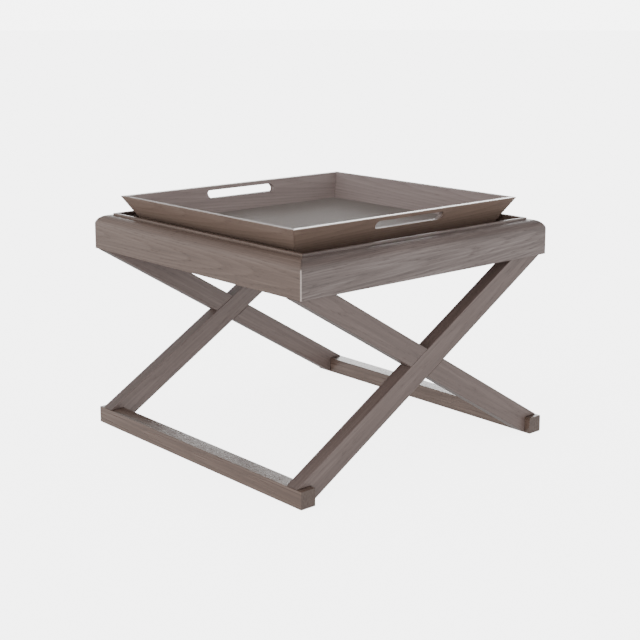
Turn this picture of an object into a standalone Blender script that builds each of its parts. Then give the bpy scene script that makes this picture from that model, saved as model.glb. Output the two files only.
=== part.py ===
"""Square tray table: a flared lift-off tray in a mitred frame, on crossed legs halved together.

Metres, +Z up. The origin is on the floor, under the middle of the frame. The front is -Y,
the left is -X, and both foot rails run from front to back.
"""

import math

import bmesh
import bpy
from mathutils import Matrix, Vector

# ---- driving dimensions -------------------------------------------------------------
FIT = 0.0003                    # clearance left between pieces that touch

FRAME_WIDTH = 0.600             # outside of the square frame
RAIL_BASE = 0.3435              # underside of the frame rails
RAIL_RIM = 0.4115               # top of the narrow rim around the recess
RAIL_THICK = 0.042              # rail, below the ledge
RECESS_WALL = 0.033             # outer face to the wall of the recess
RIM_START = 0.026               # outer face to the little step below the rim
RIM_STEP = 0.004                # height of that step
RAIL_ROUND = 0.020              # radius of the rail's top outer edge
LEDGE = 0.377                   # ledge that carries the deck panel
DECK_THICK = 0.012

FOOT_RAIL = 0.031               # square section of the rails on the floor
LEG_WIDTH = 0.042
LEG_THICK = 0.027
LEG_INSET = 0.0115              # end of a foot rail to the outer face of a leg
LEG_TIP = 0.002                 # height of the leg's tip over the floor

TRAY_HALF_X = 0.2727            # half sizes of the tray's rim
TRAY_HALF_Y = 0.2501
TRAY_TOP = 0.447
TRAY_BASE = 0.391
TRAY_FLOOR = 0.399              # upper face of the tray's floor
TRAY_FLOOR_THICK = 0.006
TRAY_WALL = 0.011               # wall thickness, measured level
TRAY_FLARE = 0.60               # outward run of the wall for each unit of height
TRAY_TONGUE = 0.003             # how far the floor's edge enters its groove
TRAY_REBATE = 0.0025            # depth of the floor's rebate, above the edge in the groove
SLOT_LENGTH = 0.165
SLOT_HEIGHT = 0.0148
SLOT_CENTRE = 0.4323            # height of the hand slots' centre line
PAD_RADIUS = 0.012
PAD_AT = (0.190, 0.170)         # centre of a felt pad, from the middle

SPLINE_SIZE = (0.020, 0.004, 0.024)   # across the mitre, along it, height
SPLINE_AT = 0.022               # outer face to the spline's centre
SPLINE_BASE = 0.350
BLOCK_SIDE = 0.060
BLOCK_NOSE = 0.014
BLOCK_BASE = 0.347
BLOCK_HEIGHT = 0.026
SCREW_AT = 0.042                # inner corner of the frame to a block screw
SCREW_SEAT = 0.020              # wood under the screw's head
SCREW_LENGTH = 0.044
SCREW_RADIUS = 0.002
SCREW_HEAD = 0.004
SCREW_HEAD_HEIGHT = 0.003
SCREW_POINT = 0.006
SCREW_BORE = 0.0045             # counterbore radius
SCREW_BORE_DEPTH = 0.0172       # from the head to beyond the block's slanting face

TOP_DOWEL = (0.004, 0.020)      # radius, depth in the rail
TOP_DOWEL_AT = ((0.235, 0.018), (0.258, 0.010))   # distance from the middle, depth in the leg
FOOT_DOWEL = (0.003, 0.042)     # radius, length
FOOT_DOWEL_START = 0.010        # outer face of the foot rail to the dowel
FOOT_DOWEL_HEIGHT = 0.022
FOOT_DOWEL_SPREAD = 0.006       # half the distance between a foot's two dowels

ARC_STEPS = 10
ROUND_SIDES = 16

# ---- worked out from the driving dimensions --------------------------------------------
HALF = FRAME_WIDTH / 2
DECK_TOP = LEDGE + FIT + DECK_THICK
CROSS_HEIGHT = (FOOT_RAIL + RAIL_BASE) / 2
CROSS_RISE = RAIL_BASE - CROSS_HEIGHT
LEG_ANGLE = math.atan2(CROSS_RISE, HALF) + math.asin(LEG_WIDTH / 2 / math.hypot(HALF, CROSS_RISE))
LEG_SLOPE = math.tan(LEG_ANGLE)
LEG_HALF_RISE = LEG_WIDTH / 2 / math.cos(LEG_ANGLE)
LEG_MIDDLE = HALF - LEG_INSET - LEG_THICK / 2

SIDES = (("front", 0), ("right", 90), ("back", 180), ("left", 270))
CORNERS = (("front_left", -1, -1), ("front_right", 1, -1), ("back_right", 1, 1), ("back_left", -1, 1))

STAINED_OAK = (0.235, 0.195, 0.172)
STAINED_OAK_DARK = (0.150, 0.115, 0.098)
TRAY_FLOOR_GREY = (0.190, 0.178, 0.166)
BEECH = (0.520, 0.350, 0.200)
BIRCH_PLY = (0.560, 0.420, 0.270)
ZINC = (0.620, 0.610, 0.580)
FELT_GREY = (0.100, 0.095, 0.090)

HALF_GLOSS = 0.35               # roughness of each kind of surface
SATIN = 0.45
BARE_WOOD = 0.60
CLOTH = 0.95


# ---- scene and collections ---------------------------------------------------------------
for old in list(bpy.data.objects):
    bpy.data.objects.remove(old)

scene = bpy.context.scene


def new_collection(name):
    """A collection linked to the scene."""
    collection = bpy.data.collections.new(name)
    scene.collection.children.link(collection)
    return collection


PARTS = new_collection("tray_table")
CUTTERS = new_collection("cutters")


# ---- small tools ---------------------------------------------------------------------------
def turned(degrees):
    """A turn about the upright axis."""
    return Matrix.Rotation(math.radians(degrees), 4, "Z")


def finish(piece, colour, roughness, metallic=0.0):
    """Give a piece its own plain material."""
    material = bpy.data.materials.new(piece.name + "_finish")
    material.use_nodes = True
    shader = material.node_tree.nodes["Principled BSDF"]
    shader.inputs["Base Color"].default_value = (*colour, 1.0)
    shader.inputs["Roughness"].default_value = roughness
    shader.inputs["Metallic"].default_value = metallic
    piece.data.materials.clear()
    piece.data.materials.append(material)
    return piece


def piece_from(bm, name, collection=PARTS):
    """Turn an edited mesh into a named object."""
    bmesh.ops.recalc_face_normals(bm, faces=bm.faces[:])
    mesh = bpy.data.meshes.new(name)
    bm.to_mesh(mesh)
    bm.free()
    piece = bpy.data.objects.new(name, mesh)
    collection.objects.link(piece)
    if collection is CUTTERS:
        piece.hide_render = True
        piece.display_type = "WIRE"
    return piece


def outline_mesh(points, thickness, place):
    """A flat outline, filled, given its thickness and put in place, as an edited mesh."""
    curve = bpy.data.curves.new("outline", "CURVE")
    curve.dimensions = "2D"
    curve.fill_mode = "BOTH"
    curve.extrude = thickness / 2
    spline = curve.splines.new("POLY")
    spline.points.add(len(points) - 1)
    for point, (across, up) in zip(spline.points, points):
        point.co = (across, up, 0.0, 1.0)
    spline.use_cyclic_u = True
    guide = bpy.data.objects.new("outline", curve)
    scene.collection.objects.link(guide)
    guide.matrix_world = place
    bpy.context.view_layer.update()
    evaluated = guide.evaluated_get(bpy.context.evaluated_depsgraph_get())
    mesh = bpy.data.meshes.new_from_object(evaluated)
    bm = bmesh.new()
    bm.from_mesh(mesh)
    bmesh.ops.remove_doubles(bm, verts=bm.verts[:], dist=1e-6)
    bmesh.ops.transform(bm, matrix=guide.matrix_world, verts=bm.verts[:])
    bpy.data.objects.remove(guide)
    bpy.data.meshes.remove(mesh)
    return bm


def box_into(bm, size, centre, turn=Matrix.Identity(4)):
    """Add a box of the given size about a centre."""
    place = Matrix.Translation(Vector(centre)) @ turn @ Matrix.Diagonal((*size, 1.0))
    bmesh.ops.create_cube(bm, size=1.0, matrix=place)


def rods_into(bm, radius, ends):
    """Add a round rod between each pair of ends."""
    for start, stop in ends:
        start, stop = Vector(start), Vector(stop)
        along = stop - start
        turn = along.to_track_quat("Z", "Y").to_matrix().to_4x4()
        place = Matrix.Translation((start + stop) / 2) @ turn
        bmesh.ops.create_cone(
            bm, cap_ends=True, segments=ROUND_SIDES, radius1=radius, radius2=radius,
            depth=along.length, matrix=place,
        )


def longer(ends, extra):
    """The same rods, longer by an extra at both ends."""
    stretched = []
    for start, stop in ends:
        start, stop = Vector(start), Vector(stop)
        step = (stop - start).normalized() * extra
        stretched.append((start - step, stop + step))
    return stretched


def cut(piece, cutter):
    """Take a cutter's shape out of a piece."""
    modifier = piece.modifiers.new("cut_" + cutter.name, "BOOLEAN")
    modifier.operation = "DIFFERENCE"
    modifier.solver = "EXACT"
    modifier.object = cutter


def slice_off(bm, point, normal):
    """Cut off what lies beyond a plane and close the cut."""
    geometry = bm.verts[:] + bm.edges[:] + bm.faces[:]
    result = bmesh.ops.bisect_plane(
        bm, geom=geometry, dist=1e-6, plane_co=point, plane_no=normal, clear_outer=True,
    )
    edges = [item for item in result["geom_cut"] if isinstance(item, bmesh.types.BMEdge)]
    bmesh.ops.contextual_create(bm, geom=edges)


def mitred_bar(name, profile, half_along, half_across, degrees):
    """A moulded bar, mitred at both ends, on one side of a rectangle about the middle.

    The profile gives (distance in from the outer face, height). It is drawn along the
    front side and then turned to its own side.
    """
    upright = Matrix(((0, 0, 1, 0), (1, 0, 0, -half_across), (0, 1, 0, 0), (0, 0, 0, 1)))
    bm = outline_mesh(profile, 2 * half_along, upright)
    for way in (-1, 1):
        normal = Vector((way, 1, 0)).normalized()
        corner = Vector((way * half_along, -half_across, 0))
        slice_off(bm, corner - normal * FIT / 2, normal)
    bmesh.ops.transform(bm, matrix=turned(degrees), verts=bm.verts[:])
    return piece_from(bm, name)


# ---- the frame -------------------------------------------------------------------------------
def rail_profile():
    """Section of a frame rail: rounded outer shoulder, small step, rim, recess and ledge."""
    shoulder = RAIL_RIM - RIM_STEP
    arc = []
    for step in range(ARC_STEPS + 1):
        angle = math.pi / 2 * step / ARC_STEPS
        inward = RAIL_ROUND * (1 - math.cos(angle))
        height = shoulder - RAIL_ROUND * (1 - math.sin(angle))
        arc.append((inward, height))
    inner = [
        (RIM_START, shoulder), (RIM_START, RAIL_RIM), (RECESS_WALL, RAIL_RIM),
        (RECESS_WALL, LEDGE), (RAIL_THICK, LEDGE), (RAIL_THICK, RAIL_BASE),
    ]
    return [(0.0, RAIL_BASE)] + arc + inner


def make_rails():
    """The four rails, mitred at the corners."""
    rails = {}
    for side, degrees in SIDES:
        rail = mitred_bar("frame_rail_" + side, rail_profile(), HALF, HALF, degrees)
        rails[side] = finish(rail, STAINED_OAK, SATIN)
    return rails


def corner_place(way_x, way_y, distance):
    """A point on a corner's mitre, a distance in from both outer faces."""
    return Vector((way_x * (HALF - distance), way_y * (HALF - distance), 0))


def spline_box(bm, way_x, way_y, extra):
    """A thin key across a corner's mitre, enlarged by an extra all round."""
    size = [length + 2 * extra for length in SPLINE_SIZE]
    centre = corner_place(way_x, way_y, SPLINE_AT)
    centre.z = SPLINE_BASE + SPLINE_SIZE[2] / 2
    across = Matrix.Rotation(math.atan2(way_y, -way_x), 4, "Z")
    box_into(bm, size, centre, across)


def make_splines(rails):
    """Keys that strengthen the mitres, let into slots in both rails."""
    slots = bmesh.new()
    for corner, way_x, way_y in CORNERS:
        key = bmesh.new()
        spline_box(key, way_x, way_y, 0.0)
        finish(piece_from(key, "mitre_spline_" + corner), BIRCH_PLY, BARE_WOOD)
        spline_box(slots, way_x, way_y, FIT)
    cutter = piece_from(slots, "spline_slots", CUTTERS)
    for rail in rails.values():
        cut(rail, cutter)


def block_outline(way_x, way_y):
    """Five-sided outline of a corner block, its square corner in the frame's corner."""
    inner = HALF - RAIL_THICK - FIT
    steps = [
        (0, 0), (BLOCK_SIDE, 0), (BLOCK_SIDE, BLOCK_NOSE), (BLOCK_NOSE, BLOCK_SIDE), (0, BLOCK_SIDE),
    ]
    return [(way_x * (inner - step_x), way_y * (inner - step_y)) for step_x, step_y in steps]


def screw_lines(way_x, way_y):
    """Head and point of the two screws of a corner block."""
    height = BLOCK_BASE + BLOCK_HEIGHT / 2
    inner = HALF - RAIL_THICK
    head = inner - SCREW_SEAT
    point = head + SCREW_LENGTH
    side = inner - SCREW_AT
    return [
        (Vector((way_x * side, way_y * head, height)), Vector((way_x * side, way_y * point, height))),
        (Vector((way_x * head, way_y * side, height)), Vector((way_x * point, way_y * side, height))),
    ]


def turned_screw():
    """One wood screw with its head's face at the origin and its point at -Z, as a mesh."""
    profile = [
        (0.0, 0.0), (SCREW_HEAD, 0.0), (SCREW_RADIUS, -SCREW_HEAD_HEIGHT),
        (SCREW_RADIUS, SCREW_POINT - SCREW_LENGTH), (0.0, -SCREW_LENGTH),
    ]
    mesh = bpy.data.meshes.new("screw_profile")
    vertices = [(across, 0.0, up) for across, up in profile]
    mesh.from_pydata(vertices, [(i, i + 1) for i in range(len(profile) - 1)], [])
    guide = bpy.data.objects.new("screw_profile", mesh)
    scene.collection.objects.link(guide)
    spin = guide.modifiers.new("turn", "SCREW")
    spin.steps = ROUND_SIDES
    spin.render_steps = ROUND_SIDES
    spin.use_merge_vertices = True
    spin.merge_threshold = 1e-6
    bpy.context.view_layer.update()
    evaluated = guide.evaluated_get(bpy.context.evaluated_depsgraph_get())
    screw = bpy.data.meshes.new_from_object(evaluated)
    bpy.data.objects.remove(guide)
    return screw


def make_corner_blocks(rails):
    """Glue blocks in the frame's corners, each held by two screws that share one mesh."""
    screw = turned_screw()
    pilots = bmesh.new()
    bores = bmesh.new()
    blocks = []
    for corner, way_x, way_y in CORNERS:
        middle = Matrix.Translation((0, 0, BLOCK_BASE + BLOCK_HEIGHT / 2))
        bm = outline_mesh(block_outline(way_x, way_y), BLOCK_HEIGHT, middle)
        blocks.append(finish(piece_from(bm, "corner_block_" + corner), BEECH, BARE_WOOD))
        for number, (head, point) in enumerate(screw_lines(way_x, way_y), start=1):
            along = (point - head).normalized()
            piece = bpy.data.objects.new(f"block_screw_{corner}_{number}", screw)
            PARTS.objects.link(piece)
            turn = along.to_track_quat("-Z", "Y").to_matrix().to_4x4()
            piece.matrix_world = Matrix.Translation(head) @ turn
            rods_into(pilots, SCREW_RADIUS + FIT, longer([(head, point)], FIT))
            mouth = head - along * SCREW_BORE_DEPTH
            seat = head + along * (SCREW_HEAD_HEIGHT + FIT)
            rods_into(bores, SCREW_BORE, [(mouth, seat)])
    finish(piece, ZINC, HALF_GLOSS, metallic=1.0)
    pilot_cutter = piece_from(pilots, "screw_pilots", CUTTERS)
    bore_cutter = piece_from(bores, "screw_bores", CUTTERS)
    for block in blocks:
        cut(block, bore_cutter)
        cut(block, pilot_cutter)
    for rail in rails.values():
        cut(rail, pilot_cutter)


def make_deck():
    """The panel that closes the frame and carries the tray."""
    side = 2 * (HALF - RECESS_WALL - FIT)
    bm = bmesh.new()
    box_into(bm, (side, side, DECK_THICK), (0, 0, DECK_TOP - DECK_THICK / 2))
    finish(piece_from(bm, "deck_panel"), STAINED_OAK_DARK, SATIN)


# ---- the crossed legs ---------------------------------------------------------------------------
def leg_edge(offset, height):
    """Distance from the middle where a leg's edge line reaches a height."""
    return (height - CROSS_HEIGHT - offset) / LEG_SLOPE


def leg_outline(way):
    """Outline of a leg that rises towards the given way, notched over its foot rail."""
    top = RAIL_BASE - FIT
    saddle = FOOT_RAIL + FIT
    heel = -HALF + FOOT_RAIL + FIT
    points = [
        (leg_edge(-LEG_HALF_RISE, LEG_TIP), LEG_TIP),
        (leg_edge(-LEG_HALF_RISE, top), top),
        (leg_edge(LEG_HALF_RISE, top), top),
        (leg_edge(LEG_HALF_RISE, saddle), saddle),
        (heel, saddle),
        (heel, LEG_TIP),
    ]
    return [(way * across, up) for across, up in points]


def lap_cutter(name, way, middle, outward):
    """A slanting block over one half of a leg's thickness, where the other leg passes.

    The other leg rises towards the given way. The block lies on the outward side, -1 for
    the half nearer the front and 1 for the half nearer the back.
    """
    size = (3 * LEG_WIDTH, LEG_THICK, LEG_WIDTH + 2 * FIT)
    centre = (0, middle + outward * (LEG_THICK / 2 - FIT / 2), CROSS_HEIGHT)
    slant = Matrix.Rotation(-way * LEG_ANGLE, 4, "Y")
    bm = bmesh.new()
    box_into(bm, size, centre, slant)
    return piece_from(bm, name, CUTTERS)


def make_legs():
    """Two crossed pairs, halved into each other: the leg rising to the right shows in front."""
    legs = []
    for place, middle in (("front", -LEG_MIDDLE), ("back", LEG_MIDDLE)):
        for side, way in (("right", 1), ("left", -1)):
            upright = Matrix(((1, 0, 0, 0), (0, 0, -1, middle), (0, 1, 0, 0), (0, 0, 0, 1)))
            bm = outline_mesh(leg_outline(way), LEG_THICK, upright)
            leg = piece_from(bm, f"leg_{place}_rising_{side}")
            cut(leg, lap_cutter(f"lap_{place}_{side}", -way, middle, way))
            legs.append(finish(leg, STAINED_OAK, SATIN))
    return legs


def make_foot_rails():
    """The two bars on the floor that tie the front and back legs."""
    rails = []
    for side, way in (("left", -1), ("right", 1)):
        bm = bmesh.new()
        size = (FOOT_RAIL, FRAME_WIDTH, FOOT_RAIL)
        box_into(bm, size, (way * (HALF - FOOT_RAIL / 2), 0, FOOT_RAIL / 2))
        rails.append(finish(piece_from(bm, "foot_rail_" + side), STAINED_OAK, SATIN))
    return rails


def make_dowels(kind, radius, lines, joined):
    """Dowels, one object each, and their holes in the pieces that they join."""
    holes = bmesh.new()
    for label, start, stop in lines:
        bm = bmesh.new()
        rods_into(bm, radius, [(start, stop)])
        finish(piece_from(bm, f"{kind}_{label}"), BEECH, BARE_WOOD)
        rods_into(holes, radius + FIT, longer([(start, stop)], FIT))
    cutter = piece_from(holes, kind + "_holes", CUTTERS)
    for piece in joined:
        cut(piece, cutter)


def top_dowel_lines():
    """Upright dowels between each leg's top and the rail above it."""
    lines = []
    for corner, way_x, way_y in CORNERS:
        for number, (distance, depth) in enumerate(TOP_DOWEL_AT, start=1):
            across, along = way_x * distance, way_y * LEG_MIDDLE
            low = (across, along, RAIL_BASE - depth)
            high = (across, along, RAIL_BASE + TOP_DOWEL[1])
            lines.append((f"{corner}_{number}", low, high))
    return lines


def foot_dowel_lines():
    """Level dowels between each foot rail and the leg that stands on it."""
    lines = []
    start = HALF - FOOT_DOWEL_START
    stop = start - FOOT_DOWEL[1]
    for corner, way_x, way_y in CORNERS:
        for number, spread in enumerate((-FOOT_DOWEL_SPREAD, FOOT_DOWEL_SPREAD), start=1):
            along = way_y * LEG_MIDDLE + spread
            outer = (way_x * start, along, FOOT_DOWEL_HEIGHT)
            inner = (way_x * stop, along, FOOT_DOWEL_HEIGHT)
            lines.append((f"{corner}_{number}", outer, inner))
    return lines


# ---- the tray ---------------------------------------------------------------------------------------
def inner_face(height):
    """Distance in from the rim's outer edge to the inner face of a tray wall, at a height."""
    return TRAY_WALL + TRAY_FLARE * (TRAY_TOP - height)


def tray_profile():
    """Section of a tray wall: parallel flared faces, level rim, and a groove for the floor."""
    low_out = TRAY_FLARE * (TRAY_TOP - TRAY_BASE)
    groove_top = TRAY_FLOOR - TRAY_REBATE + FIT
    groove_base = TRAY_FLOOR - TRAY_FLOOR_THICK - FIT
    groove_back = inner_face(TRAY_FLOOR - TRAY_REBATE) - TRAY_TONGUE - FIT
    return [
        (0.0, TRAY_TOP), (low_out, TRAY_BASE), (low_out + TRAY_WALL, TRAY_BASE),
        (inner_face(groove_base), groove_base), (groove_back, groove_base),
        (groove_back, groove_top), (inner_face(groove_top), groove_top), (TRAY_WALL, TRAY_TOP),
    ]


def slot_cutter():
    """A level bar with round ends, as long as the tray, that cuts both hand slots."""
    radius = SLOT_HEIGHT / 2
    straight = SLOT_LENGTH / 2 - radius
    points = []
    for way, first in ((1, -90), (-1, 90)):
        for step in range(ARC_STEPS + 1):
            angle = math.radians(first + 180 * step / ARC_STEPS)
            across = way * straight + radius * math.cos(angle)
            points.append((across, SLOT_CENTRE + radius * math.sin(angle)))
    through = Matrix(((1, 0, 0, 0), (0, 0, -1, 0), (0, 1, 0, 0), (0, 0, 0, 1)))
    bm = outline_mesh(points, 2 * TRAY_HALF_Y + RAIL_THICK, through)
    return piece_from(bm, "hand_slots", CUTTERS)


def make_tray_floor():
    """The tray's floor: a panel rebated all round, so that only its thin edge enters the groove."""
    shoulder = TRAY_FLOOR - TRAY_REBATE
    edge = inner_face(shoulder) - TRAY_TONGUE
    thick = TRAY_FLOOR_THICK - TRAY_REBATE
    bm = bmesh.new()
    size = (2 * (TRAY_HALF_X - edge), 2 * (TRAY_HALF_Y - edge), thick)
    box_into(bm, size, (0, 0, shoulder - thick / 2))
    top = [face for face in bm.faces if face.calc_center_median().z > shoulder - 1e-6]
    bmesh.ops.inset_region(bm, faces=top, thickness=TRAY_TONGUE + FIT, use_even_offset=True)
    raised = bmesh.ops.extrude_face_region(bm, geom=top)["geom"]
    bmesh.ops.delete(bm, geom=top, context="FACES_ONLY")
    flare = TRAY_FLARE * TRAY_REBATE
    for vertex in raised:
        if isinstance(vertex, bmesh.types.BMVert):
            vertex.co += Vector((
                math.copysign(flare, vertex.co.x), math.copysign(flare, vertex.co.y), TRAY_REBATE,
            ))
    finish(piece_from(bm, "tray_floor"), TRAY_FLOOR_GREY, SATIN)


def make_tray():
    """The flared tray with its floor, hand slots and felt pads."""
    slots = slot_cutter()
    for side, degrees in SIDES:
        if side in ("front", "back"):
            half_along, half_across = TRAY_HALF_X, TRAY_HALF_Y
        else:
            half_along, half_across = TRAY_HALF_Y, TRAY_HALF_X
        wall = mitred_bar("tray_wall_" + side, tray_profile(), half_along, half_across, degrees)
        if side in ("front", "back"):
            cut(wall, slots)
        finish(wall, STAINED_OAK_DARK, HALF_GLOSS)
    make_tray_floor()
    for corner, way_x, way_y in CORNERS:
        across, along = way_x * PAD_AT[0], way_y * PAD_AT[1]
        bm = bmesh.new()
        top = TRAY_FLOOR - TRAY_FLOOR_THICK - FIT
        rods_into(bm, PAD_RADIUS, [((across, along, DECK_TOP + FIT), (across, along, top))])
        finish(piece_from(bm, "felt_pad_" + corner), FELT_GREY, CLOTH)


# ---- assembly -----------------------------------------------------------------------------------------
frame_rails = make_rails()
make_splines(frame_rails)
make_corner_blocks(frame_rails)
make_deck()
crossed_legs = make_legs()
floor_rails = make_foot_rails()
under_legs = [frame_rails["front"], frame_rails["back"]]
make_dowels("leg_top_dowel", TOP_DOWEL[0], top_dowel_lines(), crossed_legs + under_legs)
make_dowels("foot_dowel", FOOT_DOWEL[0], foot_dowel_lines(), crossed_legs + floor_rails)
make_tray()
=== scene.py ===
"""Square tray table: the finished look of the mitred frame, the crossed legs and the loose tray."""

import math

import bpy
from mathutils import Matrix, Vector


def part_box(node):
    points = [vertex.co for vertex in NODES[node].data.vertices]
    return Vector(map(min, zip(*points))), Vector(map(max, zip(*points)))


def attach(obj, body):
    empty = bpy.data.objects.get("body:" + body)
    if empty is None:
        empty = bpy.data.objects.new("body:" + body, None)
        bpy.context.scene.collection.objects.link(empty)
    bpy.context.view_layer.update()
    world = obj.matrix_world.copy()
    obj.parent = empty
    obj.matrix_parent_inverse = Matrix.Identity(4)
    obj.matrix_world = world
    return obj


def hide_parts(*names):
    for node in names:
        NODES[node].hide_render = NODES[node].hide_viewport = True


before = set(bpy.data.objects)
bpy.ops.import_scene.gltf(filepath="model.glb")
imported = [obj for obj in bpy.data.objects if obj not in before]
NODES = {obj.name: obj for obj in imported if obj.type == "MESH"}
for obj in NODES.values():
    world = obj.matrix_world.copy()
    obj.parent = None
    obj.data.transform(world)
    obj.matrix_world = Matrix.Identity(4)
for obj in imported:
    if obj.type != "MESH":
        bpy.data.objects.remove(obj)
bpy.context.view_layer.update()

SIDES = ("front", "right", "back", "left")
CORNERS = ("front_left", "front_right", "back_right", "back_left")
QUARTER = math.pi / 2

# ---- sizes taken from the frame ------------------------------------------------------------------
RAIL_LOW, RAIL_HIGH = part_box("frame_rail_front")
FLOOR_LOW, FLOOR_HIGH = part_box("tray_floor")
WALL_LOW, WALL_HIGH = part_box("tray_wall_front")
SIDE_WALL_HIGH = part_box("tray_wall_left")[1]
LEG_LOW, LEG_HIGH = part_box("leg_front_rising_right")
FOOT_LOW, FOOT_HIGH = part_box("foot_rail_left")

HALF = RAIL_HIGH.x
RAIL_BASE = RAIL_LOW.z
RAIL_RIM = RAIL_HIGH.z
RIM_STEP = 0.004
SHOULDER = RAIL_RIM - RIM_STEP
RIM_START = 0.026
RECESS_WALL = 0.033
LEDGE_DEPTH = RAIL_HIGH.y - RAIL_LOW.y
LEDGE = 0.377
RAIL_ROUND = 0.020
CORNER_ROUND = 0.0028

LEG_THICK = LEG_HIGH.y - LEG_LOW.y
LEG_WIDTH = 0.042
LEG_MIDDLE = (LEG_LOW.y + LEG_HIGH.y) / 2
LEG_TIP = LEG_LOW.z
LEG_TOP = LEG_HIGH.z
FOOT_SIDE = FOOT_HIGH.z
CROSS_HEIGHT = (FOOT_SIDE + RAIL_BASE) / 2
CROSS_RISE = RAIL_BASE - CROSS_HEIGHT
LEG_ANGLE = math.atan2(CROSS_RISE, HALF) + math.asin(LEG_WIDTH / 2 / math.hypot(HALF, CROSS_RISE))

TRAY_HALF_X = WALL_HIGH.x
TRAY_HALF_Y = SIDE_WALL_HIGH.y
TRAY_TOP = WALL_HIGH.z
TRAY_BASE = WALL_LOW.z
TRAY_WALL = 0.011
TRAY_FLARE = 0.60
TRAY_RIM_ROUND = 0.0016
RIDGE_FLAT = 0.0005
FLOOR_REBATE = 0.0025
FLOOR_TONGUE = 0.0033
GROOVE_DEPTH = 0.0036
SLOT_LENGTH = 0.165
SLOT_HEIGHT = 0.0148
SLOT_CENTRE = 0.4323
SLOT_MOUTH = 0.0005
# left open between two glued faces
GAP = 0.0003


# ---- picking and working a shape -----------------------------------------------------------------
def deselect_all():
    """Leave nothing selected."""
    bpy.ops.object.select_all(action="DESELECT")


def work_on(piece):
    """Select one piece only and make it the active one."""
    deselect_all()
    piece.select_set(True)
    bpy.context.view_layer.objects.active = piece


def start_cube(name, low, high):
    """A block between two corners, ready to be shaped."""
    deselect_all()
    low, high = Vector(low), Vector(high)
    bpy.ops.mesh.primitive_cube_add(size=1.0, location=(low + high) / 2)
    piece = bpy.context.object
    piece.name = name
    piece.dimensions = high - low
    bpy.ops.object.transform_apply(location=True, rotation=True, scale=True)
    return piece


def pick(piece, wanted, kind="faces"):
    """Select the faces or edges for which wanted(centre, normal) holds. Starts in edit mode."""
    bpy.ops.mesh.select_all(action="DESELECT")
    bpy.ops.mesh.select_mode(type="FACE" if kind == "faces" else "EDGE")
    bpy.ops.object.mode_set(mode="OBJECT")
    mesh = piece.data
    if kind == "faces":
        for face in mesh.polygons:
            face.select = bool(wanted(face.center, face.normal))
    else:
        for edge in mesh.edges:
            ends = [mesh.vertices[i].co for i in edge.vertices]
            edge.select = bool(wanted((ends[0] + ends[1]) / 2, (ends[1] - ends[0]).normalized()))
    bpy.ops.object.mode_set(mode="EDIT")


def saw(point, normal, keep_inner=True):
    """Cut straight across the active piece, closing the cut, or only mark a line round it."""
    bpy.ops.mesh.select_all(action="SELECT")
    bpy.ops.mesh.bisect(
        plane_co=point, plane_no=normal, use_fill=keep_inner, clear_outer=keep_inner,
        clear_inner=False, threshold=1e-6,
    )


def push_faces(step):
    """Pull the picked faces out by a step, as new wood."""
    bpy.ops.mesh.extrude_region_move(TRANSFORM_OT_translate={"value": step})


def ease(piece, width, segments=2, angle=32.0):
    """Take the sharpness off every arris."""
    work_on(piece)
    modifier = piece.modifiers.new("eased", "BEVEL")
    modifier.width = width
    modifier.segments = segments
    modifier.limit_method = "ANGLE"
    modifier.angle_limit = math.radians(angle)
    modifier.use_clamp_overlap = True
    bpy.ops.object.modifier_apply(modifier=modifier.name)
    bpy.ops.object.shade_smooth_by_angle(angle=math.radians(28))
    flatten = piece.modifiers.new("true_faces", "WEIGHTED_NORMAL")
    flatten.keep_sharp = True
    bpy.ops.object.modifier_apply(modifier=flatten.name)


def cut_with(piece, cutter):
    """Take a cutter's shape out of a piece and throw the cutter away."""
    work_on(piece)
    modifier = piece.modifiers.new("cut", "BOOLEAN")
    modifier.operation = "DIFFERENCE"
    modifier.solver = "EXACT"
    modifier.object = cutter
    bpy.ops.object.modifier_apply(modifier=modifier.name)
    bpy.data.objects.remove(cutter)


def placed_copy(piece, name, place):
    """A copy with its own mesh, moved or turned into place in the mesh itself."""
    mesh = piece.data.copy()
    mesh.transform(place)
    copy = bpy.data.objects.new(name, mesh)
    bpy.context.scene.collection.objects.link(copy)
    return copy


def about_z(angle, centre=(0, 0, 0)):
    """A turn about an upright line."""
    centre = Vector(centre)
    return Matrix.Translation(centre) @ Matrix.Rotation(angle, 4, "Z") @ Matrix.Translation(-centre)


def stands_for(piece, node, body, finish, stuff="wood"):
    """Put a finished piece in its node's stead, on its body, in its finish."""
    piece.name = f"{node}_{stuff}"
    piece.data.name = piece.name
    piece.data.materials.clear()
    piece.data.materials.append(finish)
    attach(piece, body)
    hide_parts(node)
    return piece


# ---- materials -----------------------------------------------------------------------------------
class Number:
    """A number that varies over a surface. Arithmetic on it adds the material's Math nodes."""

    def __init__(self, finish, socket):
        self.finish = finish
        self.socket = socket

    def math(self, operation, *values):
        made = self.finish.add("ShaderNodeMath", {"operation": operation}, dict(enumerate(values)))
        return made.number("Value")

    def __add__(self, other):
        return self.math("ADD", self, other)

    __radd__ = __add__

    def __sub__(self, other):
        return self.math("SUBTRACT", self, other)

    def __rsub__(self, other):
        return self.math("SUBTRACT", other, self)

    def __mul__(self, other):
        return self.math("MULTIPLY", self, other)

    __rmul__ = __mul__

    def __pow__(self, other):
        return self.math("POWER", self, other)

    def __abs__(self):
        return self.math("ABSOLUTE", self)

    def fraction(self):
        return self.math("FRACT", self)

    def root(self):
        return self.math("SQRT", self)

    def at_least(self, low):
        return self.math("MAXIMUM", self, low)

    def between(self, low, high):
        """0 below low, 1 above high, rising smoothly in between."""
        made = self.finish.add(
            "ShaderNodeMapRange", {"clamp": True, "interpolation_type": "SMOOTHSTEP"},
            {"Value": self, "From Min": low, "From Max": high},
        )
        return made.number("Result")


class Made:
    """A node that has been added, with its outputs by name."""

    def __init__(self, finish, node):
        self.finish = finish
        self.node = node

    def out(self, name):
        return self.node.outputs[name]

    def number(self, name):
        return Number(self.finish, self.node.outputs[name])


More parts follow.
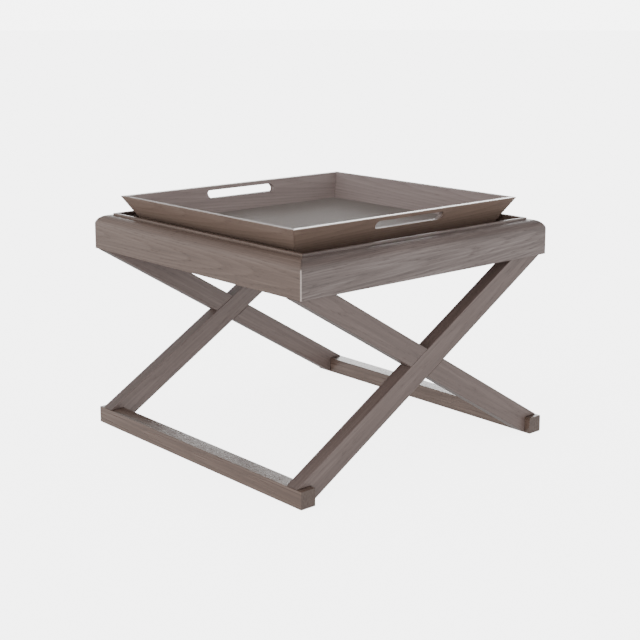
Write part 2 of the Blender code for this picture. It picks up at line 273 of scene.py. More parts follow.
class Finish:
    """One material, built up node by node."""

    def __init__(self, name):
        self.owner = bpy.data.materials.new(name)
        self.owner.use_nodes = True
        self.tree = self.owner.node_tree
        self.shader = self.tree.nodes["Principled BSDF"]

    def add(self, kind, settings=None, sockets=None):
        """Add a node: its settings first, then values or links for its sockets."""
        node = self.tree.nodes.new(kind)
        for key, value in (settings or {}).items():
            if key == "stops":
                self.set_stops(node.color_ramp, value)
            else:
                setattr(node, key, value)
        for key, value in (sockets or {}).items():
            self.join(node.inputs[key], value)
        return Made(self, node)

    @staticmethod
    def set_stops(ramp, stops):
        while len(ramp.elements) > 1:
            ramp.elements.remove(ramp.elements[-1])
        for index, (place, colour) in enumerate(stops):
            stop = ramp.elements[0] if index == 0 else ramp.elements.new(place)
            stop.position = place
            stop.color = (*colour, 1.0)

    def join(self, socket, value):
        if isinstance(value, Number):
            value = value.socket
        if isinstance(value, bpy.types.NodeSocket):
            self.tree.links.new(value, socket)
        else:
            socket.default_value = value

    def place(self, turn=(0, 0, 0), shift=(0, 0, 0)):
        """Points of the piece, turned and shifted to suit a pattern."""
        where = self.add("ShaderNodeTexCoord").out("Object")
        made = self.add(
            "ShaderNodeMapping", {"vector_type": "POINT"},
            {"Vector": where, "Location": shift, "Rotation": turn},
        )
        return made.out("Vector")

    def other_board(self, where, seed):
        """The same points in another part of the tree, so that no two boards are alike."""
        made = self.add(
            "ShaderNodeVectorMath", {"operation": "ADD"},
            {0: where, 1: (seed * 1.7, seed * 0.9, seed * 1.3)},
        )
        return made.out("Vector")

    def stretched(self, where, stretch):
        made = self.add("ShaderNodeVectorMath", {"operation": "MULTIPLY"}, {0: where, 1: stretch})
        return made.out("Vector")

    def noise(self, where, scale, detail=3.0, roughness=0.5, distortion=0.0):
        made = self.add(
            "ShaderNodeTexNoise", {"noise_dimensions": "3D"},
            {"Vector": where, "Scale": scale, "Detail": detail, "Roughness": roughness,
             "Distortion": distortion},
        )
        return made.number("Fac")

    def colours(self, value, stops):
        made = self.add("ShaderNodeValToRGB", {"stops": stops}, {"Fac": value})
        return made.out("Color")

    def mix(self, share, first, second):
        made = self.add(
            "ShaderNodeMix", {"data_type": "RGBA", "blend_type": "MIX", "clamp_factor": True},
            {0: share, 6: first, 7: second},
        )
        return made.node.outputs[2]

    def bump(self, height, distance, strength=1.0):
        made = self.add(
            "ShaderNodeBump", {}, {"Height": height, "Distance": distance, "Strength": strength},
        )
        return made.out("Normal")

    def surface(self, **sockets):
        for name, value in sockets.items():
            self.join(self.shader.inputs[name.replace("_", " ")], value)
        return self.owner


def board_frame(grain, face, centre):
    """Turn and shift that lay a board's grain along X and count Z inwards from its face."""
    along = Vector(grain).normalized()
    inward = -Vector(face).normalized()
    across = inward.cross(along)
    turn = Matrix((along, across, inward))
    return tuple(turn.to_euler("XYZ")), tuple(-(turn @ Vector(centre)))


def no_wear_nor_highlight(along, across, deep):
    """A board that is the same all over."""
    return None


def pooled(dark):
    """The colour of a stain where it pools in a pore or soaks into end grain."""
    return (*[part * 0.5 for part in dark], 1.0)


def stained_oak(
    name, tones, grain, face, centre, seed, figure=1.0, streaky=1.0, pore_depth=0.36, gloss=0.42,
    relief=0.55, climb=0.030, wear_and_highlight=no_wear_nor_highlight, second=None, end_at=None,
):
    """Open-pored oak under a grey-brown stain.

    tones are the dark, middle and light of the stain. figure is how strongly the growth rings
    show, streaky the streaks, pore_depth how dark the pores are and relief how deep the grain
    feels. climb is how fast the rings run out along the board. gloss is the roughness between
    pores. wear_and_highlight gives where the stain is made paler and smoother, as wear and as a
    painted highlight. second gives the mask and tones of a second tone, used for a painted shade
    on the front and back rails and for the paler inside of the tray walls. end_at is how far from
    the centre the end grain starts.
    """
    dark, middle, light = tones
    finish = Finish(name)
    turn, shift = board_frame(grain, face, centre)
    board = finish.place(turn, shift)
    wood = finish.other_board(board, seed)
    wander = finish.noise(finish.stretched(wood, (2.2, 9.0, 9.0)), 1.0, 2.0, 0.45)
    parts = finish.add("ShaderNodeSeparateXYZ", {}, {"Vector": board})
    along, across, deep = parts.number("X"), parts.number("Y"), parts.number("Z")
    # growth rings round a heart that lies outside the board and climbs slowly through it
    side = across + (wander - 0.5) * 0.030
    heart = deep + HEART_DEPTH + along * climb
    radius = (side * side + heart * heart).root()
    ring = (radius * RINGS_PER_METRE + (wander - 0.5) * 2.4).fraction()
    late_wood = ring.between(0.20, 0.90) * (1.0 - ring.between(0.93, 1.0))
    early_wood = 1.0 - ring.between(0.02, 0.45)
    # fibres, streaks and the slow drift of the stain
    fibres = finish.noise(finish.stretched(wood, (11.0, 420.0, 420.0)), 1.0, 3.0, 0.62)
    streaks = finish.noise(finish.stretched(wood, (3.0, 165.0, 165.0)), 1.0, 3.0, 0.58, 0.4)
    drift = finish.noise(finish.stretched(wood, (2.0, 26.0, 26.0)), 1.0, 2.0, 0.5)
    # pores: short dark dashes, crowded in the early wood
    dashes = finish.noise(finish.stretched(wood, (70.0, 950.0, 950.0)), 1.0, 1.0, 0.4)
    pores = dashes.between(0.57, 0.68) * (0.30 + 0.70 * early_wood)
    tone = 0.5 + ((streaks - 0.5) * 1.15 + (drift - 0.5) * 0.55 + (fibres - 0.5) * 0.65) * streaky
    tone = tone + (late_wood - 0.45) * (0.12 * figure) - early_wood * (0.06 * figure)
    stain = finish.colours(tone, ((0.0, dark), (0.5, middle), (1.0, light)))
    if second:
        mask, shade = second
        other = finish.colours(tone, tuple(zip((0.0, 0.5, 1.0), shade)))
        stain = finish.mix(mask(along, across, deep), stain, other)
    stain = finish.mix(pores * pore_depth, stain, pooled(dark))
    # wear and painted highlight: a paler, smoother tone where the mask is set
    wear_and_highlight_mask = wear_and_highlight(along, across, deep)
    if wear_and_highlight_mask:
        stain = finish.mix(wear_and_highlight_mask * (0.55 + fibres * 0.5), stain, (*WEAR_AND_HIGHLIGHT_TONE, 1.0))
    if end_at:
        end = abs(along).between(end_at, end_at + END_GRAIN)
        stain = finish.mix(end * 0.45, stain, pooled(dark))
    height = fibres * 0.35 + late_wood * 0.20 - pores * 0.9
    rough = gloss + (streaks - 0.5) * 0.14 + pores * 0.25 - late_wood * 0.05
    if wear_and_highlight_mask:
        rough = rough - wear_and_highlight_mask * 0.5
    return finish.surface(
        Base_Color=stain, Roughness=rough, Specular_IOR_Level=0.45,
        Normal=finish.bump(height, 0.00022, relief),
    )


def smooth_veneer(name, tones, grain, face, centre, seed):
    """Fine, even veneer under a grey stain, with hardly any figure."""
    dark, middle, light = tones
    finish = Finish(name)
    turn, shift = board_frame(grain, face, centre)
    board = finish.place(turn, shift)
    wood = finish.other_board(board, seed)
    drift = finish.noise(finish.stretched(wood, (1.6, 6.0, 6.0)), 1.0, 2.0, 0.5)
    streaks = finish.noise(finish.stretched(wood, (2.4, 60.0, 60.0)), 1.0, 3.0, 0.55)
    fibres = finish.noise(finish.stretched(wood, (24.0, 900.0, 900.0)), 1.0, 2.0, 0.55)
    flecks = finish.noise(finish.stretched(wood, (160.0, 1500.0, 1500.0)), 1.0, 1.0, 0.4)
    pores = flecks.between(0.62, 0.74)
    tone = 0.5 + (streaks - 0.5) * 0.8 + (drift - 0.5) * 0.6 + (fibres - 0.5) * 0.45
    stain = finish.colours(tone, ((0.0, dark), (0.5, middle), (1.0, light)))
    filled = finish.mix(pores * 0.30, stain, pooled(dark))
    rough = 0.64 + (streaks - 0.5) * 0.12 + pores * 0.15
    height = fibres * 0.4 - pores * 0.6
    return finish.surface(
        Base_Color=filled, Roughness=rough, Specular_IOR_Level=0.13,
        Normal=finish.bump(height, 0.00010, 0.5),
    )


def bare_beech(name, grain, face, centre, seed):
    """Planed beech, unfinished, with its small dark flecks."""
    finish = Finish(name)
    turn, shift = board_frame(grain, face, centre)
    board = finish.place(turn, shift)
    wood = finish.other_board(board, seed)
    fibres = finish.noise(finish.stretched(wood, (20.0, 500.0, 500.0)), 1.0, 3.0, 0.6)
    streaks = finish.noise(finish.stretched(wood, (6.0, 120.0, 120.0)), 1.0, 3.0, 0.5)
    dashes = finish.noise(finish.stretched(wood, (300.0, 1400.0, 1400.0)), 1.0, 1.0, 0.4)
    flecks = dashes.between(0.60, 0.68)
    tone = 0.5 + (streaks - 0.5) * 1.3 + (fibres - 0.5) * 0.7
    colour = finish.colours(
        tone, ((0.0, (0.36, 0.21, 0.11)), (0.5, (0.50, 0.33, 0.19)), (1.0, (0.63, 0.45, 0.28))),
    )
    flecked = finish.mix(flecks * 0.6, colour, (0.25, 0.13, 0.07, 1.0))
    rough = 0.58 + (streaks - 0.5) * 0.2
    return finish.surface(
        Base_Color=flecked, Roughness=rough, Normal=finish.bump(fibres - flecks * 0.4, 0.0002, 0.6),
    )


def birch_ply(name):
    """Birch plywood seen at its edge: thin plies with dark glue lines."""
    finish = Finish(name)
    where = finish.place()
    height = finish.add("ShaderNodeSeparateXYZ", {}, {"Vector": where}).number("Z")
    ply = (height * PLIES_PER_METRE).fraction()
    glue = ply.between(0.0, 0.06) * (1.0 - ply.between(0.06, 0.16))
    turned_ply = (height * (PLIES_PER_METRE / 2)).fraction().between(0.49, 0.51)
    fibres = finish.noise(finish.stretched(where, (500.0, 500.0, 90.0)), 1.0, 3.0, 0.6)
    light = finish.colours(fibres, ((0.2, (0.50, 0.36, 0.21)), (0.8, (0.66, 0.51, 0.33))))
    brown = finish.colours(fibres, ((0.2, (0.38, 0.25, 0.14)), (0.8, (0.52, 0.37, 0.23))))
    plies = finish.mix(turned_ply, light, brown)
    colour = finish.mix(glue * 0.8, plies, (0.10, 0.05, 0.03, 1.0))
    return finish.surface(
        Base_Color=colour, Roughness=0.62 + (fibres - 0.5) * 0.15,
        Normal=finish.bump(fibres - glue, 0.0002, 0.5),
    )


def zinc_plate(name):
    """Bright zinc plate on turned steel, a little dulled."""
    finish = Finish(name)
    where = finish.place()
    cloud = finish.noise(where, 900.0, 3.0, 0.6)
    scratch = finish.noise(finish.stretched(where, (400.0, 400.0, 4000.0)), 1.0, 2.0, 0.5)
    colour = finish.colours(cloud, ((0.3, (0.52, 0.52, 0.49)), (0.7, (0.70, 0.69, 0.66))))
    return finish.surface(
        Base_Color=colour, Metallic=1.0, Roughness=0.28 + (cloud - 0.5) * 0.25,
        Normal=finish.bump(scratch, 0.00003, 0.5),
    )


def pressed_felt(name):
    """Grey wool felt with a nap of matted fibres."""
    finish = Finish(name)
    where = finish.place()
    mat = finish.noise(where, 1400.0, 4.0, 0.7, 1.2)
    clumps = finish.noise(where, 260.0, 2.0, 0.5)
    tone = 0.5 + (mat - 0.5) * 1.6 + (clumps - 0.5) * 0.8
    colour = finish.colours(
        tone, ((0.0, (0.045, 0.042, 0.040)), (0.5, (0.10, 0.095, 0.09)), (1.0, (0.19, 0.18, 0.17))),
    )
    return finish.surface(
        Base_Color=colour, Roughness=0.95, Sheen_Weight=0.3, Sheen_Roughness=0.5,
        Normal=finish.bump(mat, 0.0005, 0.9),
    )


def studio_white(name):
    """Matt white of the studio floor and walls, which glow evenly."""
    finish = Finish(name)
    cloud = finish.noise(finish.place(), 3.0, 2.0, 0.5)
    colour = finish.colours(cloud, ((0.3, (0.80, 0.80, 0.80)), (0.7, (0.82, 0.82, 0.82))))
    return finish.surface(
        Base_Color=colour, Roughness=0.95, Specular_IOR_Level=0.0,
        Emission_Color=(1.0, 1.0, 1.0, 1.0), Emission_Strength=STUDIO_GLOW,
    )


# how the wood grows and is cut
HEART_DEPTH = 0.034
RINGS_PER_METRE = 300.0
PLIES_PER_METRE = 700.0
GRAIN_SLOPE = 0.055

# where a finish begins to change and where it has changed fully
# the upright corner arrises of the rails: wear and a painted highlight
ARRIS_WEAR_AND_HIGHLIGHT = (0.0022, 0.0012)
# the top of the front and back tray walls: a painted highlight
RIM_HIGHLIGHT = (0.0014, 0.0004)
# the band along the top of the front and back rails that gets a painted shade
SHADE_BAND = (0.011, 0.021)
INNER_SHADE = (0.003, 0.005)
END_GRAIN = 0.0006

# stains, from dark to light
TAUPE = ((0.046, 0.029, 0.021), (0.088, 0.057, 0.044), (0.145, 0.103, 0.084))
GREY_TAUPE = ((0.050, 0.036, 0.032), (0.098, 0.074, 0.067), (0.175, 0.146, 0.136))
# darker tones for the painted shade on the front and back rails' rounding
SHADED_TAUPE = ((0.036, 0.024, 0.020), (0.071, 0.050, 0.044), (0.132, 0.102, 0.092))
LEG_TAUPE = ((0.050, 0.034, 0.029), (0.092, 0.065, 0.057), (0.150, 0.114, 0.103))
PALE_TAUPE = ((0.096, 0.070, 0.064), (0.158, 0.121, 0.112), (0.232, 0.189, 0.178))
BROWN = ((0.069, 0.043, 0.031), (0.124, 0.084, 0.065), (0.184, 0.137, 0.112))
FLOOR_GREY = ((0.119, 0.100, 0.090), (0.146, 0.124, 0.113), (0.175, 0.152, 0.140))
# the paler tone of wear and of painted highlights
WEAR_AND_HIGHLIGHT_TONE = (0.46, 0.39, 0.36)


# ---- the frame's rails ---------------------------------------------------------------------------
def shape_rail():
    """A frame rail along the front, moulded, mitred and rounded at its outer corners."""
    outer = -HALF
    piece = start_cube("rail", (-HALF, outer, RAIL_BASE), (HALF, outer + RIM_START, SHOULDER))
    bpy.ops.object.mode_set(mode="EDIT")

    def long_edge(depth, height):
        return lambda centre, along: (
            abs(along.x) > 0.99 and abs(centre.y - outer - depth) < 1e-5
            and abs(centre.z - height) < 1e-5
        )

    pick(piece, long_edge(0.0, SHOULDER), "edges")
    bpy.ops.mesh.bevel(offset=RAIL_ROUND, segments=14, affect="EDGES")
    pick(piece, lambda centre, normal: normal.y > 0.9)
    push_faces((0, RECESS_WALL - RIM_START, 0))
    pick(piece, lambda centre, normal: normal.z > 0.9 and centre.y > outer + RIM_START)
    push_faces((0, 0, RIM_STEP))
    saw((0, 0, LEDGE), (0, 0, 1), keep_inner=False)
    pick(piece, lambda centre, normal: normal.y > 0.9 and centre.z < LEDGE)
    push_faces((0, LEDGE_DEPTH - RECESS_WALL, 0))
    for depth, height, width in (
        (RIM_START, RAIL_RIM, 0.0009), (RECESS_WALL, RAIL_RIM, 0.0012), (0.0, RAIL_BASE, 0.0015),
        (LEDGE_DEPTH, RAIL_BASE, 0.0010), (LEDGE_DEPTH, LEDGE, 0.0006),
    ):
        pick(piece, long_edge(depth, height), "edges")
        bpy.ops.mesh.bevel(offset=width, segments=3, affect="EDGES")
    for way in (-1, 1):
        normal = Vector((way, 1, 0)).normalized()
        saw(Vector((way * HALF, outer, 0)) - normal * GAP / 2, normal)
    for way in (-1, 1):
        middle = Vector((way * (HALF - CORNER_ROUND), outer + CORNER_ROUND, 0))
        for degrees in (15, 30, 45):
            angle = math.radians(degrees)
            normal = Vector((way * math.sin(angle), -math.cos(angle), 0))
            saw(middle + normal * CORNER_ROUND, normal)
    bpy.ops.object.mode_set(mode="OBJECT")
    ease(piece, 0.00028, 2)
    return piece


def build_rails():
    """The four rails, from one shape."""
    first = shape_rail()
    stains = {"front": GREY_TAUPE, "right": TAUPE, "back": GREY_TAUPE, "left": TAUPE}

    for number, side in enumerate(SIDES):
        turn = about_z(number * QUARTER)
        piece = placed_copy(first, "rail_" + side, turn)
        outward = turn.to_3x3() @ Vector((0, -1, 0))
        slope = GRAIN_SLOPE if side in ("front", "back") else 0.0
        grain = turn.to_3x3() @ Vector((1, 0, slope))

        # wear and painted highlight: the stain is paler and smoother along the upright arrises at
        # the mitred corners, as wear and as the bright line of light on them
        def arris(along, across, deep, slope=slope):
            length = abs(along + across * slope) * (1 / math.hypot(1, slope))
            return length.between(HALF - ARRIS_WEAR_AND_HIGHLIGHT[0], HALF - ARRIS_WEAR_AND_HIGHLIGHT[1])

        # painted shade: a darker band along the top of the front and back rails, where the rounding
        # turns up towards the dim light above
        def painted_shade_band(along, across, deep, slope=slope):
            return (along * slope - across).between(*SHADE_BAND)

        centre = outward * HALF + Vector((0, 0, (RAIL_BASE + SHOULDER) / 2 - 0.004))
        finish = stained_oak(
            f"stained_oak_rail_{side}", stains[side], grain, outward, centre, 3.1 + 2.3 * number,
            figure=0.8, streaky=1.1 if slope else 0.65, pore_depth=0.5 if slope else 0.4,
            wear_and_highlight=arris, second=(painted_shade_band, SHADED_TAUPE) if slope else None,
        )
        stands_for(piece, "frame_rail_" + side, "base", finish)
    bpy.data.objects.remove(first)


# ---- the crossed legs ----------------------------------------------------------------------------
def slanting_block(name, size, centre, angle):
    """A block turned about the front-to-back axis."""
    deselect_all()
    bpy.ops.mesh.primitive_cube_add(size=1.0, location=centre, rotation=(0, angle, 0), scale=size)
    piece = bpy.context.object
    piece.name = name
    bpy.ops.object.transform_apply(location=True, rotation=True, scale=True)
    return piece


def shape_leg():
    """The front leg that rises to the right, notched over its foot rail and halved."""
    crossing = Vector((0, LEG_MIDDLE, CROSS_HEIGHT))
    piece = slanting_block("leg", (0.9, LEG_THICK, LEG_WIDTH), crossing, -LEG_ANGLE)
    bpy.ops.object.mode_set(mode="EDIT")
    saw((0, 0, LEG_TOP), (0, 0, 1))
    saw((0, 0, LEG_TIP), (0, 0, -1))
    bpy.ops.object.mode_set(mode="OBJECT")
    notch = start_cube(
        "notch", (-HALF - 0.1, LEG_MIDDLE - 0.03, -0.1),
        (-HALF + FOOT_SIDE + GAP, LEG_MIDDLE + 0.03, FOOT_SIDE + GAP),
    )
    cut_with(piece, notch)
    half = crossing + Vector((0, LEG_THICK / 2 - GAP / 2, 0))
    lap = slanting_block("lap", (3 * LEG_WIDTH, LEG_THICK, LEG_WIDTH + 2 * GAP), half, LEG_ANGLE)
    cut_with(piece, lap)
    ease(piece, 0.0009, 3)
    return piece


def build_legs():
    """Two crossed pairs, all four legs from one shape."""
    first = shape_leg()
    number = 0
    for place, middle in (("front", LEG_MIDDLE), ("back", -LEG_MIDDLE)):
        for side, angle in (("right", LEG_ANGLE), ("left", -LEG_ANGLE)):
            move = Matrix.Translation((0, middle - LEG_MIDDLE, 0))
            if side == "left":
                move = move @ about_z(math.pi, (0, LEG_MIDDLE, 0))
            piece = placed_copy(first, f"leg_{place}_{side}", move)
            grain = (math.cos(angle), 0, math.sin(angle))
            centre = (0, middle - LEG_THICK / 2, CROSS_HEIGHT)
            finish = stained_oak(
                f"stained_oak_leg_{place}_{side}", LEG_TAUPE, grain, (0, -1, 0), centre,
                11.7 + 1.9 * number, figure=0.4, streaky=0.6, climb=0.02,
            )
            stands_for(piece, f"leg_{place}_rising_{side}", "base", finish)
            number += 1
    bpy.data.objects.remove(first)


def build_foot_rails():
    """The two bars on the floor, from one shape."""
    first = start_cube("foot", FOOT_LOW, FOOT_HIGH)
    ease(first, 0.0011, 3)
    for number, (side, way) in enumerate((("left", -1), ("right", 1))):
        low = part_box("foot_rail_" + side)[0]
        piece = placed_copy(first, "foot_" + side, Matrix.Translation(low - FOOT_LOW))
        centre = (way * HALF, 0, FOOT_SIDE / 2)
        finish = stained_oak(
            f"stained_oak_foot_{side}", TAUPE, (0, 1, 0), (way, 0, 0), centre, 21.3 + 3.1 * number,
            figure=0.5, streaky=0.8, gloss=0.32, climb=0.02, end_at=HALF - END_GRAIN,
        )
        stands_for(piece, "foot_rail_" + side, "base", finish)
    bpy.data.objects.remove(first)


# ---- the deck under the tray ---------------------------------------------------------------------
def build_deck():
    """The panel that carries the tray."""
    low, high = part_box("deck_panel")
    piece = start_cube("deck", low, high)
    ease(piece, 0.0006, 2)
    finish = stained_oak(
        "stained_oak_deck", BROWN, (1, 0, 0), (0, 0, 1), (0, 0, high.z), 31.9,
        figure=0.8, climb=0.02,
    )
    stands_for(piece, "deck_panel", "base", finish)


# ---- the tray ------------------------------------------------------------------------------------
def shape_wall(half_along, half_across, slotted):
    """A flared tray wall along the front, grooved for the floor and mitred at both ends."""
    outer = -half_across
    piece = start_cube(
        "wall", (-half_along, outer, TRAY_BASE), (half_along, outer + TRAY_WALL, TRAY_TOP),
    )
    bpy.ops.object.mode_set(mode="EDIT")
    pick(piece, lambda centre, normal: normal.z < -0.9)
    bpy.ops.transform.translate(value=(0, TRAY_FLARE * (TRAY_TOP - TRAY_BASE), 0))
    groove = (FLOOR_LOW.z - GAP, FLOOR_HIGH.z - FLOOR_REBATE + GAP)
    for height in groove:
        saw((0, 0, height), (0, 0, 1), keep_inner=False)
    pick(piece, lambda centre, normal: normal.y > 0.5 and groove[0] < centre.z < groove[1])
    push_faces((0, -GROOVE_DEPTH, 0))
    for depth in (0.0, TRAY_WALL):
        pick(piece, lambda centre, along: (
            abs(along.x) > 0.99 and abs(centre.z - TRAY_TOP) < 1e-5
            and abs(centre.y - outer - depth) < 1e-5
        ), "edges")
        bpy.ops.mesh.bevel(offset=TRAY_RIM_ROUND, segments=4, affect="EDGES")
    for way in (-1, 1):
        corner = Vector((way * half_along, outer, TRAY_TOP))
        normal = Vector((way, 1, 0)).normalized()
        saw(corner - normal * GAP / 2, normal)
        ridge = Vector((way, -1, -2 * TRAY_FLARE)).normalized()
        saw(corner - ridge * RIDGE_FLAT, ridge)
    bpy.ops.object.mode_set(mode="OBJECT")
    if slotted:
        cut_hand_slot(piece, outer)
    ease(piece, 0.00025, 2)
    return piece


def cut_hand_slot(piece, outer):
    """A level slot with round ends, its mouth softened on both faces."""
    rise = SLOT_HEIGHT / 2
    slot = start_cube(
        "slot", (-SLOT_LENGTH / 2, outer - 0.03, SLOT_CENTRE - rise),
        (SLOT_LENGTH / 2, outer + 0.06, SLOT_CENTRE + rise),
    )
    bpy.ops.object.mode_set(mode="EDIT")
    pick(slot, lambda centre, along: abs(along.y) > 0.99, "edges")
    bpy.ops.mesh.bevel(offset=rise * 0.998, segments=8, affect="EDGES")
    bpy.ops.object.mode_set(mode="OBJECT")
    cut_with(piece, slot)
    work_on(piece)
    bpy.ops.object.mode_set(mode="EDIT")
    pick(piece, lambda centre, along: (
        abs(centre.x) < SLOT_LENGTH / 2 + 1e-4 and abs(centre.z - SLOT_CENTRE) < rise + 1e-4
        and abs(along.y) < 0.75
    ), "edges")
    bpy.ops.mesh.bevel(offset=SLOT_MOUTH, segments=3, affect="EDGES")
    bpy.ops.object.mode_set(mode="OBJECT")


def build_tray():
    """The loose tray: four walls, the floor and its felt pads."""
    half_height = (TRAY_TOP - TRAY_BASE) / 2

    def inner_side(along, across, deep):
        return (deep - (across + half_height) * TRAY_FLARE).between(*INNER_SHADE)

    # painted highlight: a paler, smoother line along the top of the front and back walls only,
    # where light glances off the rim
    def rim(along, across, deep):
        wear_and_highlight = (0.0 - across).between(half_height - RIM_HIGHLIGHT[0], half_height - RIM_HIGHLIGHT[1])
        return wear_and_highlight * 0.5

    shapes = {
        "long": shape_wall(TRAY_HALF_X, TRAY_HALF_Y, True),
        "short": shape_wall(TRAY_HALF_Y, TRAY_HALF_X, False),
    }
    for number, side in enumerate(SIDES):
        handled = side in ("front", "back")
        shape, across = ("long", TRAY_HALF_Y) if handled else ("short", TRAY_HALF_X)
        turn = about_z(number * QUARTER)
        piece = placed_copy(shapes[shape], "wall_" + side, turn)
        outward = turn.to_3x3() @ Vector((0, -1, 0))
        grain = turn.to_3x3() @ Vector((1, 0, 0))
        centre = outward * across + Vector((0, 0, (TRAY_BASE + TRAY_TOP) / 2))
        finish = stained_oak(
            f"stained_oak_wall_{side}", BROWN, grain, outward, centre, 41.1 + 2.7 * number,
            figure=0.7, streaky=0.45, pore_depth=0.12, gloss=0.54, relief=0.15,
            wear_and_highlight=rim if handled else no_wear_nor_highlight, second=(inner_side, PALE_TAUPE),
        )
        stands_for(piece, "tray_wall_" + side, "tray", finish)
    for shape in shapes.values():
        bpy.data.objects.remove(shape)
    build_tray_floor()
    build_pads()


def build_tray_floor():
    """The tray's floor panel, rebated so that only its edge enters the groove."""
    shoulder = FLOOR_HIGH.z - FLOOR_REBATE
    piece = start_cube("floor", FLOOR_LOW, (FLOOR_HIGH.x, FLOOR_HIGH.y, shoulder))
    bpy.ops.object.mode_set(mode="EDIT")
    pick(piece, lambda centre, normal: normal.z > 0.9)
    bpy.ops.mesh.inset(thickness=FLOOR_TONGUE, use_even_offset=True)
    push_faces((0, 0, FLOOR_REBATE))
    flare = TRAY_FLARE * FLOOR_REBATE
    wide = (1 + flare / (FLOOR_HIGH.x - FLOOR_TONGUE), 1 + flare / (FLOOR_HIGH.y - FLOOR_TONGUE), 1)
    bpy.ops.transform.resize(value=wide, center_override=(0, 0, FLOOR_HIGH.z))
    bpy.ops.object.mode_set(mode="OBJECT")
    ease(piece, 0.0002, 2)
    finish = smooth_veneer(
        "grey_veneer_floor", FLOOR_GREY, (1, 0, 0), (0, 0, 1), (0, 0, FLOOR_HIGH.z), 51.7,
    )
    stands_for(piece, "tray_floor", "tray", finish)


def build_pads():
    """Round felt pads under the tray, from one shape."""
    low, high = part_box("felt_pad_front_left")
    middle = (low + high) / 2
    deselect_all()
    bpy.ops.mesh.primitive_cylinder_add(
        vertices=48, radius=(high.x - low.x) / 2, depth=high.z - low.z, location=middle,
    )
    first = bpy.context.object
    bpy.ops.object.transform_apply(location=True, rotation=True, scale=True)
    ease(first, 0.0006, 3)
    felt = pressed_felt("grey_felt_pad")
    for corner in CORNERS:
        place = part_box("felt_pad_" + corner)[0]
        piece = placed_copy(first, "pad_" + corner, Matrix.Translation(place - low))
        stands_for(piece, "felt_pad_" + corner, "tray", felt, "felt")
    bpy.data.objects.remove(first)


# ---- the joinery inside, which keeps its frame shape ---------------------------------------------
def finish_joinery():
    """Give blocks, keys, dowels and screws their materials."""
    zinc = zinc_plate("zinc_plated_screw")
    ply = birch_ply("birch_ply_key")
    dowel = bare_beech("beech_dowel_upright", (0, 0, 1), (0, 1, 0), (0, 0, 0), 61.3)
    peg = bare_beech("beech_dowel_level", (1, 0, 0), (0, 1, 0), (0, 0, 0), 67.9)
    for number, corner in enumerate(CORNERS):
        low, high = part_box("corner_block_" + corner)
        middle = (low + high) / 2
        grain = (1 if middle.x > 0 else -1, 1 if middle.y < 0 else -1, 0)
        block = bare_beech(
            "beech_block_" + corner, grain, (0, 0, -1), (middle.x, middle.y, low.z), 71.1 + number,
        )
        wanted = {"corner_block_" + corner: block, "mitre_spline_" + corner: ply}
        for pair in (1, 2):
            wanted[f"block_screw_{corner}_{pair}"] = zinc
            wanted[f"leg_top_dowel_{corner}_{pair}"] = dowel
            wanted[f"foot_dowel_{corner}_{pair}"] = peg
        for name, material in wanted.items():
            node = NODES[name]
            node.data.materials.clear()
            node.data.materials.append(material)


# ---- floor, light and camera ---------------------------------------------------------------------
STUDIO_GLOW = 4.5
STUDIO_RADIUS = 40.0
STUDIO_HEIGHT = 30.0

# strengths of the soft light
FROM_BELOW = 0.60
ALL_ROUND = 1.20
LESS_ABOVE = 1.25
FROM_BEHIND = 7.0
FROM_LEFT = 1.1
FROM_UPPER_LEFT = 1.3
FROM_FRONT = 1.2


def build_studio():
    """A pale floor that runs up into pale walls, and the soft light round the table."""
    deselect_all()
    bpy.ops.mesh.primitive_circle_add(
        vertices=96, radius=STUDIO_RADIUS, fill_type="NGON", location=(0, 0, -0.0005),
    )
    studio = bpy.context.object
    studio.name = "studio_floor"
    bpy.ops.object.transform_apply(location=True, rotation=True, scale=True)
    bpy.ops.object.mode_set(mode="EDIT")
    bpy.ops.mesh.select_mode(type="EDGE")
    bpy.ops.mesh.select_all(action="SELECT")
    bpy.ops.mesh.extrude_region_move(TRANSFORM_OT_translate={"value": (0, 0, STUDIO_HEIGHT)})
    bpy.ops.object.mode_set(mode="OBJECT")
    studio.data.materials.append(studio_white("matt_white_studio"))
    # the soft light lights the table, and the studio is only its setting
    studio.visible_diffuse = False
    studio.visible_glossy = False
    studio.visible_shadow = False
    build_soft_light()


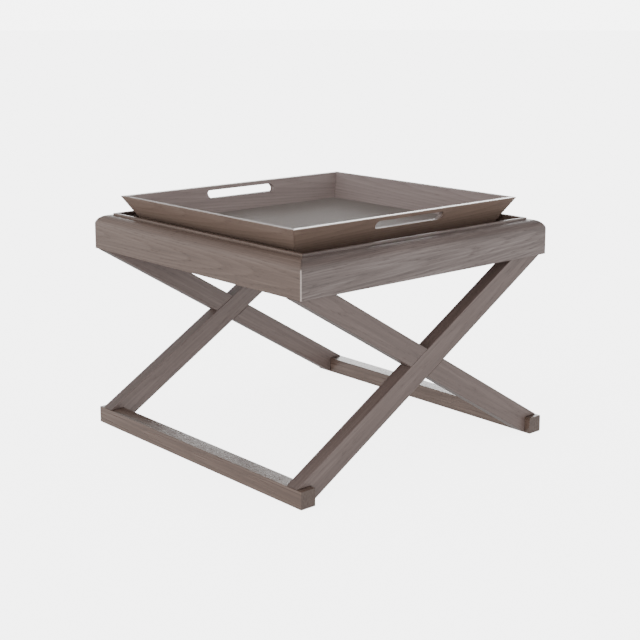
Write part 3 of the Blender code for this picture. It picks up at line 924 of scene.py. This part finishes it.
class SoftLight(Finish):
    """Light from all round, built up node by node as a finish is."""

    def __init__(self, name):
        self.owner = bpy.data.worlds.new(name)
        self.owner.use_nodes = True
        bpy.context.scene.world = self.owner
        self.tree = self.owner.node_tree
        self.shader = self.tree.nodes["Background"]
        self.way = self.add("ShaderNodeTexCoord").out("Generated")

    def towards(self, direction):
        """How nearly a ray runs in a direction, from 0 to 1."""
        made = self.add(
            "ShaderNodeVectorMath", {"operation": "DOT_PRODUCT"},
            {0: self.way, 1: tuple(Vector(direction).normalized())},
        )
        return made.number("Value").at_least(0.0)


def build_soft_light():
    """Bright low down behind, on the left and in front, softer from above, dim from below."""
    light = SoftLight("soft_light")
    height = light.add("ShaderNodeSeparateXYZ", {}, {"Vector": light.way}).number("Z")
    level = (
        FROM_BELOW + ALL_ROUND * height.between(-0.45, 0.02)
        - LESS_ABOVE * height.between(0.15, 0.62)
    )
    low_band = 1.0 - height.between(0.22, 0.45)
    above_floor = height.between(-0.04, 0.08)
    behind = (
        (light.towards((0.78, 0.62, 0.14)) ** 12.0) * above_floor
        * (1.0 - height.between(0.24, 0.42))
    )
    left = (light.towards((-1.0, -0.1, 0.05)) ** 2.0) * low_band
    upper_left = (light.towards((-1.0, -0.15, 0.95)) ** 4.0) * above_floor
    front = (light.towards((0.0, -1.0, 0.0)) ** 2.0) * low_band
    light.surface(
        Color=(
            level + behind * FROM_BEHIND + left * FROM_LEFT + upper_left * FROM_UPPER_LEFT
            + front * FROM_FRONT
        ),
        Strength=1.0,
    )


def build_camera():
    """Camera a little above the tray, looking down across the front left corner."""
    lens = bpy.data.cameras.new("camera")
    camera = bpy.data.objects.new("camera", lens)
    bpy.context.scene.collection.objects.link(camera)
    camera.location = (-1.56994, -1.77868, 0.79765)
    yaw, pitch = 0.71970, -0.18321
    level = math.cos(pitch)
    forward = Vector((math.sin(yaw) * level, math.cos(yaw) * level, math.sin(pitch)))
    camera.rotation_euler = forward.to_track_quat("-Z", "Y").to_euler()
    lens.sensor_width = 36.0
    lens.lens = 72.342
    lens.shift_x = 0.01023
    lens.shift_y = -0.12
    bpy.context.scene.camera = camera


build_rails()
build_legs()
build_foot_rails()
build_deck()
build_tray()
finish_joinery()
build_studio()
build_camera()
